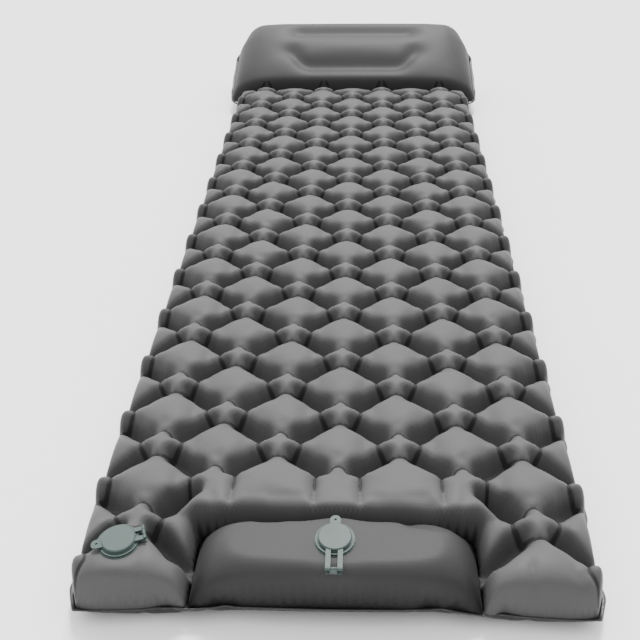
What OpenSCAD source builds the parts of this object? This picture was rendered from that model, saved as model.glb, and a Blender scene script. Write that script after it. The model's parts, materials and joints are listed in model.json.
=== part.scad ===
/* [Mattress] */
// Length over the welded hem, foot to head
pad_l = 1950; // [1820:5:2050]
// Width of the mattress between its side welds
mattress_w = 650; // [640:5:680]
// Thickness of the inflated mattress
mattress_t = 86; // [80:1:96]
// Thickness given to the coated fabric, a stand-in for 0.3 mm cloth
wall = 1.2; // [1:0.1:2]
// Width of the welded hem outside the air space
hem_w = 12; // [8:1:16]

/* [Weld pattern] */
// Half spacing of the diamonds across the pad
cell_x = 82; // [80:1:83]
// Half spacing of the diamonds along the pad
cell_y = 65.5; // [64:0.5:66]
// Straight length of one weld bar between its round ends
bar_l = 42; // [30:1:46]
// Width of one weld bar
bar_w = 15; // [10:1:18]

/* [Pillow] */
// Width of the pillow between its side welds
pillow_w = 690; // [660:5:700]
// Length of the pillow along the pad
pillow_l = 249; // [220:1:270]
// Height of the pillow's crown above the ground
pillow_h = 190; // [160:1:200]
// Plan radius of the pillow's rear corners
pillow_corner_r = 90; // [60:5:110]
// Length of each pressed line in the pillow's crown
groove_l = 330; // [250:5:380]

/* [Foot pump] */
// Width of the pump chamber
pump_w = 343; // [320:1:350]
// Length of the pump chamber along the pad
pump_l = 101; // [96:1:104]
// Height of the pump's crown above the ground
pump_h = 92; // [88:1:100]
// Travel of the pump's crown under a foot
pump_travel = 32; // [20:1:34]

/* [Valves] */
// Radius of the port through a valve's insert
port_r = 12; // [11:0.5:12.5]
// Radius of a valve's cap
cap_r = 20; // [19:0.5:21]
// Distance from the pump valve's centre to its cap's hinge
pump_hinge_reach = 46; // [44:1:48]
// Distance from the mattress valve's centre to its cap's hinge
air_hinge_reach = 30; // [30:1:48]
// Running clearance between a valve's insert and its collar
insert_gap = 0.05; // [0.03:0.01:0.08]
// Place of the mattress valve on its corner cell, across the pad
air_valve_x = -257; // [-262:1:-250]
// Place of the mattress valve on its corner cell, along the pad
air_valve_y = -916; // [-920:1:-910]
// Direction of the mattress valve's pull tab, from the head of the pad
air_valve_turn = 110; // [90:1:120]

/* [Hidden] */
$fn = 64;

half_t = mattress_t / 2;
foot_y = -pad_l / 2 + hem_w;
head_y = pad_l / 2 - hem_w;
join_y = head_y - pillow_l;
weld_t = 0.8;            // welded fabric at the mid-plane, one layer
gap = 0.3;               // air between the moving pump cover and its neighbours
through = 400;           // longer than any cut

first_row = -1.5;        // weld rows are counted from the row beside the pump
last_row = 22.5;
row_zero_y = foot_y + 2.4 * cell_y;
pump_side_column = 2.5;  // the first column of welds outside the pump

pump_y = foot_y + pump_l / 2;
pump_edge_r = 20;
pump_end_r = 34;
pillow_side_r = 70;
pillow_edge_r = 60;
groove_w = 16;
groove_d = 14;
groove_front_y = join_y + 62;
groove_back_y = head_y - 58;

skirt_r = 28;
skirt_t = 1;
collar_r = 23.5;
collar_h = 5;
collar_bore_r = 16;
sheet_hole_r = 17;
plug_r = collar_bore_r - insert_gap;
plug_below = 6;
rim_r = 21;
rim_t = 1.5;
grate_r = 13;
grate_t = 2;
grate_bar_w = 3;
hub_r = 4;
hub_hole_r = 1.6;
throat_r = port_r - 1;
port_floor = 0.5;        // the full port starts here, clear of the flap's stem
flap_r = 13.5;
flap_t = 1;
stem_r = 1.5;
stem_head_r = 2.2;
flap_lift = 2.5;
cap_t = 3.5;
seal_r = 15;             // ring on the insert's rim that fits a groove in the cap
seal_w = 1.6;
seal_h = 1;
seal_gap = 0.2;
tab_w = 13;
tab_reach = 12;
tab_hole_r = 1.5;
leg_x = 7;
leg_w = 6;
leg_t = 2;
pin_r = 1;
pin_gap = 0.06;
pin_z = 8.5;             // keeps the eyes level with the cap's underside
knuckle_r = 2;
lug_w = 6.8;
strap_z = 1.2;           // underside of the strap's base, clear of the flange's skirt
strap_t = 1;
strap_w = 5;             // each base strip is hidden under one leg

seat_x = 110;
seat_z = 31;
seat_r = 9;
seat_bore_r = 6.5;
seat_face_y = foot_y + pump_l + 10;
seat_back_y = foot_y + pump_l - wall;
flap_hinge_z = seat_z + 10.5;
flap_plate_r = 8.2;
flap_pin_r = 0.8;
flap_gap = 0.1;
lug_x = 6.3;
lug_t = 2;

GREY = [0.40, 0.40, 0.41];
DARK = [0.30, 0.30, 0.31];
VALVE = [0.55, 0.60, 0.58];
FOAM = [0.80, 0.80, 0.74];
SILICONE = [0.85, 0.86, 0.85];

// Where each valve stands, on its crown
pump_valve_at = [0, pump_y, pump_h];
air_valve_at = [air_valve_x, air_valve_y, mattress_t];

// ---- shared outlines ----

// A section standing on y = 0 with round upper corners
module crown(half_w, h, r) {
    translate([-half_w, 0]) square([2 * half_w, h - r]);
    translate([r - half_w, 0]) square([2 * (half_w - r), h]);
    for (s = [-1, 1]) translate([s * (half_w - r), h - r]) circle(r = r);
}

// The same section with only its left corner round, from x = 0 to x = len
module half_crown(len, h, r) {
    translate([r, 0]) square([len - r, h]);
    intersection() {
        translate([r, h - r]) circle(r = r);
        square([2 * r, h]);
    }
}

// Extrudes a section drawn in X and Z along Y
module along_y(y0, y1) {
    translate([0, y1, 0]) rotate([90, 0, 0]) linear_extrude(y1 - y0) children();
}

// Extrudes a section drawn in Y and Z along X, half to each side
module along_x(half_w) {
    translate([-half_w, 0, 0]) rotate([90, 0, 90]) linear_extrude(2 * half_w) children();
}

// ---- mattress ----

// The two directions of the weld bars alternate like a chequerboard
function bar_turn(col, row) = (floor(col) + floor(row)) % 2 == 0 ? 1 : -1;
function bar_angle(col, row) = bar_turn(col, row) * atan2(cell_y, cell_x);
function is_welded(col, row) = row > 0 || abs(col) >= pump_side_column;

// Outline of all weld bars, each grown by g
module weld_bars(g) {
    for (row = [first_row : last_row], col = [-3.5 : 3.5])
        if (is_welded(col, row))
            translate([col * cell_x, row_zero_y + row * cell_y])
                rotate(bar_angle(col, row)) bar(g);
}

module bar(g) {
    r = bar_w / 2 + g;
    translate([-bar_l / 2, -r]) square([bar_l, 2 * r]);
    for (s = [-1, 1]) translate([s * bar_l / 2, 0]) circle(r = r, $fn = 32);
}

// The upper half of the mattress's air space, shrunk by g, on z = 0
module mattress_half(g) {
    difference() {
        intersection() {
            along_y(foot_y + g, join_y - g) mattress_section(g);
            along_x(mattress_w / 2) translate([foot_y + g, 0])
                half_crown(join_y - foot_y - 2 * g, half_t - g, half_t - g);
        }
        translate([-pump_w / 2 - gap - g, foot_y - 1, -1])
            cube([pump_w + 2 * gap + 2 * g, pump_l + 1 + gap + g, half_t + 2]);
        translate([0, 0, g > 0 ? -1 : weld_t]) linear_extrude(half_t + 2) weld_bars(g);
    }
}

module mattress_section(g) {
    r = half_t - g;
    translate([r - mattress_w / 2 + g, 0]) square([mattress_w - 2 * g - 2 * r, r]);
    for (s = [-1, 1]) translate([s * (mattress_w / 2 - g - r), 0]) intersection() {
        circle(r = r);
        translate([-r, 0]) square([2 * r, r]);
    }
}

// The welded flange beside and in front of the air space, one layer thick. It starts inside the
// shell's wall, so that the two are one piece.
module mattress_hem() {
    side = mattress_w / 2;
    clear = pump_w / 2 + gap;
    linear_extrude(weld_t) for (s = [0, 1]) mirror([s, 0]) {
        translate([side - wall, foot_y - hem_w]) square([hem_w + wall, join_y - foot_y + hem_w]);
        translate([clear, foot_y - hem_w]) square([side - clear, hem_w + wall]);
    }
}

module quilted_half() {
    difference() {
        mattress_half(0);
        translate([0, 0, -0.001]) mattress_half(wall);
    }
    mattress_hem();
}

module top_sheet() {
    color(GREY) difference() {
        translate([0, 0, half_t]) quilted_half();
        translate([air_valve_x, air_valve_y, half_t]) cylinder(r = sheet_hole_r, h = through);
    }
}

module bottom_sheet() {
    color(DARK) difference() {
        translate([0, 0, half_t]) mirror([0, 0, 1]) quilted_half();
        transfer_hole();
    }
}

// ---- pillow ----

// Plan of the pillow, shrunk by g, with round rear corners
module pillow_plan(g) {
    w = pillow_w / 2 - g;
    r = pillow_corner_r - g;
    translate([-w, join_y + g]) square([2 * w, pillow_l - 2 * g - r]);
    translate([r - w, join_y + g]) square([2 * (w - r), pillow_l - 2 * g]);
    for (s = [-1, 1]) translate([s * (w - r), head_y - g - r]) circle(r = r);
}

// One half of the pillow's air space on z = 0, h high, shrunk by g
module pillow_half(h, side_r, edge_r, g) {
    intersection() {
        linear_extrude(h) pillow_plan(g);
        along_y(join_y - 1, head_y + 1) crown(pillow_w / 2 - g, h - g, side_r - g);
        along_x(pillow_w / 2) translate([(join_y + head_y) / 2, 0])
            crown(pillow_l / 2 - g, h - g, edge_r - g);
    }
}

module pillow_hem() {
    linear_extrude(weld_t) difference() {
        pillow_plan(-hem_w);
        pillow_plan(0);
        translate([-pillow_w, join_y - hem_w - 1]) square([2 * pillow_w, hem_w + 1]);
    }
}

module groove(y, g) {
    r = groove_w / 2 + g;
    translate([0, y, pillow_h - half_t - groove_d - g]) linear_extrude(through) {
        translate([r - groove_l / 2, -r]) square([groove_l - 2 * r, 2 * r]);
        for (s = [-1, 1]) translate([s * (groove_l / 2 - r), 0]) circle(r = r);
    }
}

module pillow_top_panel() {
    h = pillow_h - half_t;
    color(GREY) translate([0, 0, half_t]) {
        difference() {
            pillow_half(h, pillow_side_r, pillow_edge_r, 0);
            for (y = [groove_front_y, groove_back_y]) groove(y, 0);
            translate([0, 0, -0.001]) difference() {
                pillow_half(h, pillow_side_r, pillow_edge_r, wall);
                for (y = [groove_front_y, groove_back_y]) groove(y, wall);
            }
        }
        pillow_hem();
    }
}

module pillow_bottom_panel() {
    r = half_t - 1;
    color(DARK) translate([0, 0, half_t]) mirror([0, 0, 1]) {
        difference() {
            pillow_half(half_t, r, r, 0);
            translate([0, 0, -0.001]) pillow_half(half_t, r, r, wall);
        }
        pillow_hem();
    }
}

// A strip of fabric that holds a pressed line down to the bottom panel
module pillow_tie(y) {
    z0 = wall;
    z1 = pillow_h - groove_d - wall;
    color(DARK) translate([-groove_l / 2 + groove_w, y - wall / 2, z0])
        cube([groove_l - 2 * groove_w, wall, z1 - z0]);
}

module pillow_tie_front() pillow_tie(groove_front_y);
module pillow_tie_back() pillow_tie(groove_back_y);

// ---- foot pump ----

// One half of the pump chamber on z = 0, h high, shrunk by g
module pump_half(h, edge_r, end_r, g) {
    intersection() {
        along_y(foot_y + g, foot_y + pump_l - g) crown(pump_w / 2 - g, h - g, end_r - g);
        along_x(pump_w / 2) translate([pump_y, 0]) crown(pump_l / 2 - g, h - g, edge_r - g);
    }
}

module pump_top_panel() {
    h = pump_h - half_t - gap;
    color(GREY) translate([0, 0, half_t + gap]) difference() {
        pump_half(h, pump_edge_r, pump_end_r, 0);
        translate([0, 0, -0.001]) pump_half(h, pump_edge_r, pump_end_r, wall);
        translate([0, pump_y, 0]) cylinder(r = sheet_hole_r, h = through);
    }
}

module pump_floor_panel() {
    color(DARK) difference() {
        translate([0, 0, half_t]) mirror([0, 0, 1]) {
            difference() {
                pump_half(half_t, pump_edge_r, pump_end_r, 0);
                translate([0, 0, -0.001]) pump_half(half_t, pump_edge_r, pump_end_r, wall);
            }
            translate([-pump_w / 2, foot_y - hem_w, 0]) cube([pump_w, hem_w, weld_t]);
        }
        transfer_hole();
    }
}

// The foam block, which a full stroke squeezes to half its height
module pump_foam() {
    foam_side = 13;
    foam_z0 = 3;
    foam_h = 2 * pump_travel;
    color(FOAM) translate([0, 0, foam_z0]) intersection() {
        along_y(foot_y + foam_side, foot_y + pump_l - foam_side)
            crown(pump_w / 2 - foam_side - pump_end_r, foam_h, pump_edge_r);
        along_x(pump_w / 2) translate([pump_y, 0])
            crown(pump_l / 2 - foam_side, foam_h, pump_edge_r);
    }
}

// ---- valves, drawn on z = 0 with the cap's hinge towards -Y ----

module valve_flange() {
    color(VALVE) difference() {
        union() {
            cylinder(r = skirt_r, h = skirt_t);
            cylinder(r = collar_r, h = collar_h);
        }
        translate([0, 0, -1]) cylinder(r = collar_bore_r, h = collar_h + 2);
    }
}

module valve_insert(reach) {
    top = collar_h + rim_t;
    color(VALVE) difference() {
        union() {
            translate([0, 0, -plug_below]) cylinder(r = plug_r, h = plug_below + collar_h);
            translate([0, 0, collar_h]) cylinder(r = rim_r, h = rim_t);
            translate([0, 0, top - 0.5]) seal_ring(0, seal_h + 0.5);
            for (s = [-1, 1]) translate([s * leg_x - strap_w / 2, 0, 0]) strap_base(reach);
            translate([0, -reach, 0]) hinge_lug();
        }
        translate([0, 0, port_floor]) cylinder(r = port_r, h = top);
        translate([0, 0, -plug_below - 1]) cylinder(r = throat_r, h = plug_below + top);
        translate([0, 0, -plug_below - 1]) cylinder(r = grate_r + insert_gap, h = grate_t + 1);
    }
}

// A ring round the port, h high and grown by g on each side
module seal_ring(g, h) {
    difference() {
        cylinder(r = seal_r + seal_w / 2 + g, h = h);
        translate([0, 0, -1]) cylinder(r = seal_r - seal_w / 2 - g, h = h + 2);
    }
}

// A strip from the insert's rim, over the collar and down to the hinge
module strap_base(reach) {
    top = collar_h + rim_t;
    over = collar_r + 1.5;
    down = min(skirt_r + 4, reach - knuckle_r - 1);
    end = reach + knuckle_r;
    rotate([90, 0, 90]) linear_extrude(strap_w) polygon([
        [-rim_r + 3, collar_h], [-rim_r + 3, top], [-over, top],
        [-down, strap_z + strap_t], [-end, strap_z + strap_t],
        [-end, strap_z], [-down + 0.5, strap_z], [1 - over, collar_h]
    ]);
}

// The lug between the strap's two legs, with its pin
module hinge_lug() {
    base_w = 2 * leg_x + strap_w;
    pin_l = 2 * leg_x + leg_w + 1;
    translate([-base_w / 2, -knuckle_r, strap_z]) cube([base_w, 2 * knuckle_r, strap_t]);
    translate([-lug_w / 2, -knuckle_r, strap_z]) cube([lug_w, 2 * knuckle_r, pin_z - strap_z]);
    translate([-lug_w / 2, 0, pin_z]) rotate([0, 90, 0]) cylinder(r = knuckle_r, h = lug_w);
    translate([-pin_l / 2, 0, pin_z]) rotate([0, 90, 0]) cylinder(r = pin_r, h = pin_l);
}

// The ring and cross in the insert's mouth that carry the flap's stem
module valve_grate() {
    color(VALVE) translate([0, 0, -plug_below]) difference() {
        union() {
            difference() {
                cylinder(r = grate_r, h = grate_t);
                translate([0, 0, -1]) cylinder(r = throat_r, h = grate_t + 2);
            }
            for (a = [0, 90]) rotate(a) translate([-throat_r - 1, -grate_bar_w / 2, 0])
                cube([2 * throat_r + 2, grate_bar_w, grate_t]);
            cylinder(r = hub_r, h = grate_t);
        }
        translate([0, 0, -1]) cylinder(r = hub_hole_r, h = grate_t + 2);
    }
}

module valve_flap() {
    stem_l = grate_t + flap_lift + 0.2;
    color(SILICONE) translate([0, 0, -plug_below - flap_t]) {
        cylinder(r = flap_r, h = flap_t);
        cylinder(r = stem_r, h = flap_t + stem_l);
        translate([0, 0, flap_t + stem_l]) cylinder(r = stem_head_r, h = 1);
    }
}

module valve_cap(reach) {
    z0 = collar_h + rim_t;
    color(VALVE) difference() {
        union() {
            translate([0, 0, z0]) cap_disc();
            translate([-tab_w / 2, 0, z0]) cube([tab_w, cap_r + tab_reach - tab_w / 2, leg_t]);
            translate([0, cap_r + tab_reach - tab_w / 2, z0]) cylinder(r = tab_w / 2, h = leg_t);
            for (s = [-1, 1]) translate([s * leg_x - leg_w / 2, 0, 0]) strap_leg(z0, reach);
        }
        translate([0, 0, z0 - 1]) seal_ring(seal_gap, seal_h + seal_gap + 1);
        translate([0, cap_r + tab_reach - tab_w / 2, z0 - 1]) cylinder(r = tab_hole_r, h = through);
        translate([-leg_x - leg_w, -reach, pin_z]) rotate([0, 90, 0])
            cylinder(r = pin_r + pin_gap, h = 2 * leg_x + 2 * leg_w);
    }
}

// The cap's disc with its bevelled rim
module cap_disc() {
    bevel = 1.2;
    rotate_extrude() polygon([
        [0, 0], [cap_r, 0], [cap_r, cap_t - bevel], [cap_r - bevel, cap_t], [0, cap_t]
    ]);
}

// One leg of the forked strap, from the disc to its hinge eye
module strap_leg(z0, reach) {
    start = cap_r - 8;
    translate([0, -reach, z0]) cube([leg_w, reach - start, leg_t]);
    translate([0, -reach, pin_z]) rotate([0, 90, 0]) cylinder(r = knuckle_r, h = leg_w);
}

module on_pump() translate(pump_valve_at) children();
module on_corner_cell() translate(air_valve_at) rotate(air_valve_turn) children();

module pump_valve_flange() on_pump() valve_flange();
module pump_valve_insert() on_pump() valve_insert(pump_hinge_reach);
module pump_valve_grate() on_pump() valve_grate();
module pump_valve_flap() on_pump() valve_flap();
module pump_valve_cap() on_pump() valve_cap(pump_hinge_reach);
module air_valve_flange() on_corner_cell() valve_flange();
module air_valve_insert() on_corner_cell() valve_insert(air_hinge_reach);
module air_valve_grate() on_corner_cell() valve_grate();
module air_valve_flap() on_corner_cell() valve_flap();
module air_valve_cap() on_corner_cell() valve_cap(air_hinge_reach);

// ---- transfer valve, from the pump chamber into the mattress ----

module transfer_hole() {
    translate([seat_x, seat_back_y - 2, seat_z]) rotate([-90, 0, 0])
        cylinder(r = seat_r + 0.05, h = 8);
}

module transfer_valve_seat() {
    color(VALVE) difference() {
        union() {
            translate([seat_x, seat_back_y - 1, seat_z]) rotate([-90, 0, 0])
                cylinder(r = seat_r, h = seat_face_y - seat_back_y + 1);
            translate([seat_x, seat_back_y - 2, seat_z]) rotate([-90, 0, 0])
                cylinder(r = seat_r + 1.8, h = 2);
            translate([seat_x - lug_x - lug_t, seat_face_y - 5, seat_z])
                cube([2 * (lug_x + lug_t), 5, flap_hinge_z + 2 - seat_z]);
            for (s = [-1, 1]) translate([seat_x + s * (lug_x + lug_t / 2) - lug_t / 2,
                                         seat_face_y - 1, flap_hinge_z - 2])
                cube([lug_t, 4, 4]);
        }
        translate([seat_x, seat_back_y - 3, seat_z]) rotate([-90, 0, 0])
            cylinder(r = seat_bore_r, h = 20);
        translate([seat_x - 10, seat_face_y + 1.4, flap_hinge_z]) rotate([0, 90, 0])
            cylinder(r = flap_pin_r + 0.05, h = 20);
    }
}

module transfer_valve_flap() {
    color(SILICONE) {
        translate([seat_x, seat_face_y + flap_gap, seat_z]) rotate([-90, 0, 0])
            cylinder(r = flap_plate_r, h = 1);
        translate([seat_x - 5, seat_face_y + flap_gap, seat_z])
            cube([10, 1, flap_hinge_z - seat_z]);
        translate([seat_x - 5, seat_face_y + 1.4, flap_hinge_z]) rotate([0, 90, 0])
            cylinder(r = 1.2, h = 10);
        translate([seat_x - lug_x - lug_t, seat_face_y + 1.4, flap_hinge_z]) rotate([0, 90, 0])
            cylinder(r = flap_pin_r, h = 2 * (lug_x + lug_t));
    }
}

bottom_sheet();
top_sheet();
pillow_bottom_panel();
pillow_top_panel();
pillow_tie_front();
pillow_tie_back();
pump_floor_panel();
pump_top_panel();
pump_foam();
pump_valve_flange();
pump_valve_insert();
pump_valve_grate();
pump_valve_flap();
pump_valve_cap();
air_valve_flange();
air_valve_insert();
air_valve_grate();
air_valve_flap();
air_valve_cap();
transfer_valve_seat();
transfer_valve_flap();
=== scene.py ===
"""Inflatable sleeping pad: welded diamond cells, raised pillow, foot pump and two capped valves.

The skin starts as one lattice of fabric in two layers, welded at its bars and seams. It is raised
to its inflated height, settled as cloth under air pressure, and then cut into its panels.
"""

import json
import math

import bmesh
import bpy
import numpy as np
from mathutils import Matrix, Vector


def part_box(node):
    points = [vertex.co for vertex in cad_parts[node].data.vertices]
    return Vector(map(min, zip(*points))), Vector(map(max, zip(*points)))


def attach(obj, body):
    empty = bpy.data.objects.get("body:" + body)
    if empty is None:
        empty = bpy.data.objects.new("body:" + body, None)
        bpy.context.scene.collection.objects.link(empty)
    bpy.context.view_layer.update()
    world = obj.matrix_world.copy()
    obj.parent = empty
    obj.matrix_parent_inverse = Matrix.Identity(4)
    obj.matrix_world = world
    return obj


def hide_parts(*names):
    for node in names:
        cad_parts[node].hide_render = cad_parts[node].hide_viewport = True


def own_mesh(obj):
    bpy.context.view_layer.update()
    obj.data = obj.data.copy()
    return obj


bl_info = {
    "name": "Inflatable Sleeping Pad",
    "version": (1, 0, 0),
    "blender": (4, 5, 0),
    "location": "View3D > Sidebar > Sleeping Pad",
    "description": "Builds the looks of an inflatable sleeping pad around its frame",
    "category": "Object",
}

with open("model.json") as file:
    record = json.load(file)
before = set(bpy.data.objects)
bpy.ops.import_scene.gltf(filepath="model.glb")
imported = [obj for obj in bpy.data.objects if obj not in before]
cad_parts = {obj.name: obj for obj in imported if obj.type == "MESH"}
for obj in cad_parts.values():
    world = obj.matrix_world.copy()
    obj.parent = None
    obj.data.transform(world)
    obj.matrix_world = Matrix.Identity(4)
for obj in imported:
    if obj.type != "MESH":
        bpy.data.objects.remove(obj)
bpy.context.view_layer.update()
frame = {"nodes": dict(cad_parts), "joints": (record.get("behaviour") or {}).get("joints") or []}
TOP_LOW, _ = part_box("top_sheet")
PILLOW_LOW, PILLOW_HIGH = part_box("pillow_top_panel")
_, PUMP_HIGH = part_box("pump_top_panel")
FOAM_LOW, FOAM_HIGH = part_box("pump_foam")
WELD_Z = TOP_LOW.z


def node_centre(name):
    """The middle of a CAD node's box."""
    low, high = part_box(name)
    return (low + high) / 2


def valve_foot(name):
    """The point on a valve's axis where its flange stands on the skin."""
    middle, (low, _) = node_centre(name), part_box(name)
    return Vector((middle.x, middle.y, low.z))


PUMP_VALVE = valve_foot("pump_valve_flange")
AIR_VALVE = valve_foot("air_valve_flange")
VALVE_SKIRT_T = 0.0017     # how far the cloth stands over a flange's underside
VALVE_COLLAR_R = 0.0232    # the hole in the cloth round a valve's collar
SEAT = node_centre("transfer_valve_seat")
PUMP_TRAVEL = next(j for j in frame["joints"] if j["name"] == "pump_press")["range_m"][1]


# --- Sizes and colours ---


def number(name, description, default, **more):
    return bpy.props.FloatProperty(name=name, description=description, default=default, **more)


def length(name, description, default):
    return number(name, description, default, subtype="DISTANCE", unit="LENGTH", precision=4)


def vector(name, description, default, **more):
    return bpy.props.FloatVectorProperty(
        name=name, description=description, default=default, size=3, **more
    )


def colour(name, description, default):
    return vector(name, description, default, subtype="COLOR", min=0, max=1)


def radians(*turns):
    return tuple(math.radians(turn) for turn in turns)


class SkinSizes(bpy.types.PropertyGroup):
    """Sizes of the inflated skin."""

    cell_x: length("Cell across", "Half spacing of the diamonds across the pad", 0.082)
    cell_y: length("Cell along", "Half spacing of the diamonds along the pad", 0.0655)
    seam_inset: length("Seam inset", "From the CAD hem's edge in to the seam", 0.012)
    hem_w: length("Hem", "Width of the welded hem outside the seam", 0.006)
    ear_reach: length("Ears", "How far the seam draws in between the ears", 0.007)
    seam_droop: length("Seam droop", "How far the outer seam sinks", 0.020)
    corner_pull: length("Corner pull", "How far the foot corners draw in", 0.016)
    cell_rise: length("Cell rise", "Height of a large cell over the weld plane", 0.0445)
    fold_depth: number("Fold depth", "Depth of a knot's folds, as a share of the rise", 0.13,
                       min=0, max=0.7, subtype="FACTOR")
    tuck: length("Tuck", "How far a fold tucks in between two cells", 0.0035)
    pump_rise: length("Pump rise", "Height of the pump's crown over its seam", 0.057)
    pump_end_r: length("Pump ends", "Reach of the roundness of its ends", 0.075)
    pillow_front: length("Pillow front", "Crown's height over the welds in front", 0.056)
    pillow_back: length("Pillow back", "Crown's height over the welds behind", 0.178)
    pillow_corner: length("Pillow corner", "Plan radius of the rear corners", 0.07)
    pillow_seam_lift: length("Pillow seam", "Climb of its seam to its back", 0.075)
    pillow_bulge: length("Pillow bulge", "How far its sides swell past the seam", 0.015)
    pillow_side_r: length("Pillow side", "Reach of the roundness of its ends", 0.07)
    press_line_depth: length("Press line", "Depth of the lines in the pillow", 0.017)
    slack: number("Slack", "Spare length in the cloth before it is inflated", 0.02,
                  min=0, max=0.1, subtype="FACTOR")
    pressure: number("Pressure", "Air pressure in the settling cloth", 6, min=0, max=30)
    settle_frames: bpy.props.IntProperty(
        name="Settling", description="Frames of cloth simulation", default=14, min=2, max=60
    )
    cloth_t: length("Cloth", "Thickness of the coated cloth", 0.0006)


class BeadSizes(bpy.types.PropertyGroup):
    """Sizes of the weld beads round the valves."""

    ring_r: length("Ring", "Radius of the ring that the bead follows", 0.0240)
    bead_r: length("Bead", "Radius of the bead itself", 0.0009)


class Finishes(bpy.types.PropertyGroup):
    """Colours of the materials."""

    fabric: colour("Fabric", "Upper fabric", (0.074, 0.074, 0.0755))
    underside: colour("Underside", "Lower fabric", (0.034, 0.034, 0.035))
    hem: colour("Hem", "Welded hem", (0.012, 0.012, 0.013))
    valve: colour("Valve", "Soft moulded valve parts", (0.042, 0.063, 0.057))
    silicone: colour("Silicone", "Flaps of the valves", (0.62, 0.65, 0.63))
    foam: colour("Foam", "Foam block in the pump", (0.72, 0.68, 0.55))
    floor: colour("Floor", "Studio floor", (0.90, 0.90, 0.90))


class Studio(bpy.types.PropertyGroup):
    """The camera and the lights."""

    lens: number("Lens", "Focal length in millimetres", 45.1, min=10, max=200)
    shift: number("Shift", "Lens shift sideways", -0.025)
    camera_place: vector("Camera", "Place of the camera", (0.028, -1.536, 0.851),
                         subtype="XYZ", unit="LENGTH")
    camera_turn: vector("Camera turn", "Turn of the camera", radians(54.84, 0.62, 1.71),
                        subtype="EULER", unit="ROTATION")
    lamp_turn: vector("Lamp turn", "Turn of the lamp overhead", radians(-30, 4, 0),
                      subtype="EULER", unit="ROTATION")
    lamp_strength: number("Lamp", "Strength of the lamp overhead", 4.1, min=0)
    lamp_width: number("Lamp width", "Softness of the lamp's shadow", math.radians(12), min=0,
                       subtype="ANGLE", unit="ROTATION")
    room_dark: number("Room low", "Light of the room's darkest side", 0.3, min=0)
    room_bright: number("Room high", "Light of the room's brightest side", 3.3, min=0)


# --- Shader maths ---


class Value:
    """A socket of a node tree that can be used in an expression."""

    def __init__(self, tree, socket):
        self.tree, self.socket = tree, socket

    def maths(self, operation, *others, clamp=False):
        node = self.tree.add("ShaderNodeMath", {"operation": operation, "use_clamp": clamp},
                             **{str(i): o for i, o in enumerate((self, *others))})
        return node.out(0)

    def __add__(self, other):
        return self.maths("ADD", other)

    def __sub__(self, other):
        return self.maths("SUBTRACT", other)

    def __rsub__(self, other):
        return self.maths("MULTIPLY", -1).maths("ADD", other)

    def __mul__(self, other):
        return self.maths("MULTIPLY", other)

    __radd__, __rmul__ = __add__, __mul__


class Node:
    """A node whose sockets are read as Values."""

    def __init__(self, tree, node):
        self.tree, self.node = tree, node

    def out(self, key=0):
        return Value(self.tree, self.node.outputs[key])


class Tree:
    """A node tree and the one way to add nodes to it."""

    def __init__(self, node_tree):
        self.nodes, self.links = node_tree.nodes, node_tree.links

    def add(self, kind, settings=None, **inputs):
        node = self.nodes.new(kind)
        for key, value in (settings or {}).items():
            setattr(node, key, value)
        for key, value in inputs.items():
            socket = node.inputs[int(key) if key.isdigit() else key.replace("_", " ")]
            self.set(socket, value)
        return Node(self, node)

    def set(self, socket, value):
        if isinstance(value, Value):
            self.links.new(value.socket, socket)
        elif isinstance(value, tuple) and len(value) == 3 and socket.type == "RGBA":
            socket.default_value = (*value, 1)
        else:
            socket.default_value = value


class Finish(Tree):
    """A material with its shader."""

    def __init__(self, name, roughness, **constants):
        self.material = bpy.data.materials.new(name)
        self.material.use_nodes = True
        super().__init__(self.material.node_tree)
        self.shader = self.nodes["Principled BSDF"]
        self.shader.inputs["Roughness"].default_value = roughness
        for key, value in constants.items():
            self.shader.inputs[key.replace("_", " ")].default_value = value

    def place(self):
        """The place on the object, in metres."""
        return self.add("ShaderNodeTexCoord").out("Object")

    def noise(self, scale, detail=2, place=None):
        return self.add("ShaderNodeTexNoise", Vector=place or self.place(), Scale=scale,
                        Detail=detail).out(0)

    def attribute(self, name):
        return self.add("ShaderNodeAttribute", {"attribute_name": name}).out("Fac")

    def tint(self, colour, dark, light, amount):
        """The colour, from its dark share where amount is 0 to its light share where it is 1."""
        node = self.add("ShaderNodeMix", {"data_type": "RGBA"}, **{"0": amount})
        for key, share in (("A", dark), ("B", light)):
            socket = [s for s in node.node.inputs if s.name == key and s.type == "RGBA"][0]
            socket.default_value = (*(min(1, c * share) for c in colour), 1)
        result = [s for s in node.node.outputs if s.type == "RGBA"][0]
        self.links.new(result, self.shader.inputs["Base Color"])

    def bump(self, *layers):
        """Stacks bumps, each (height, distance, strength)."""
        normal = None
        for height, distance, strength in layers:
            inputs = {"Height": height, "Distance": distance, "Strength": strength}
            if normal:
                inputs["Normal"] = normal
            normal = self.add("ShaderNodeBump", None, **inputs).out(0)
        self.set(self.shader.inputs["Normal"], normal)


def weave(finish, threads_per_m=1400):
    """The height of a plain weave, from two sets of threads seen from above."""
    waves_per_scale = 20
    across, along = (
        finish.add("ShaderNodeTexWave", {"bands_direction": direction}, Vector=finish.place(),
                   Scale=threads_per_m / waves_per_scale).out("Fac") for direction in "XY")
    return across * along


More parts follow.
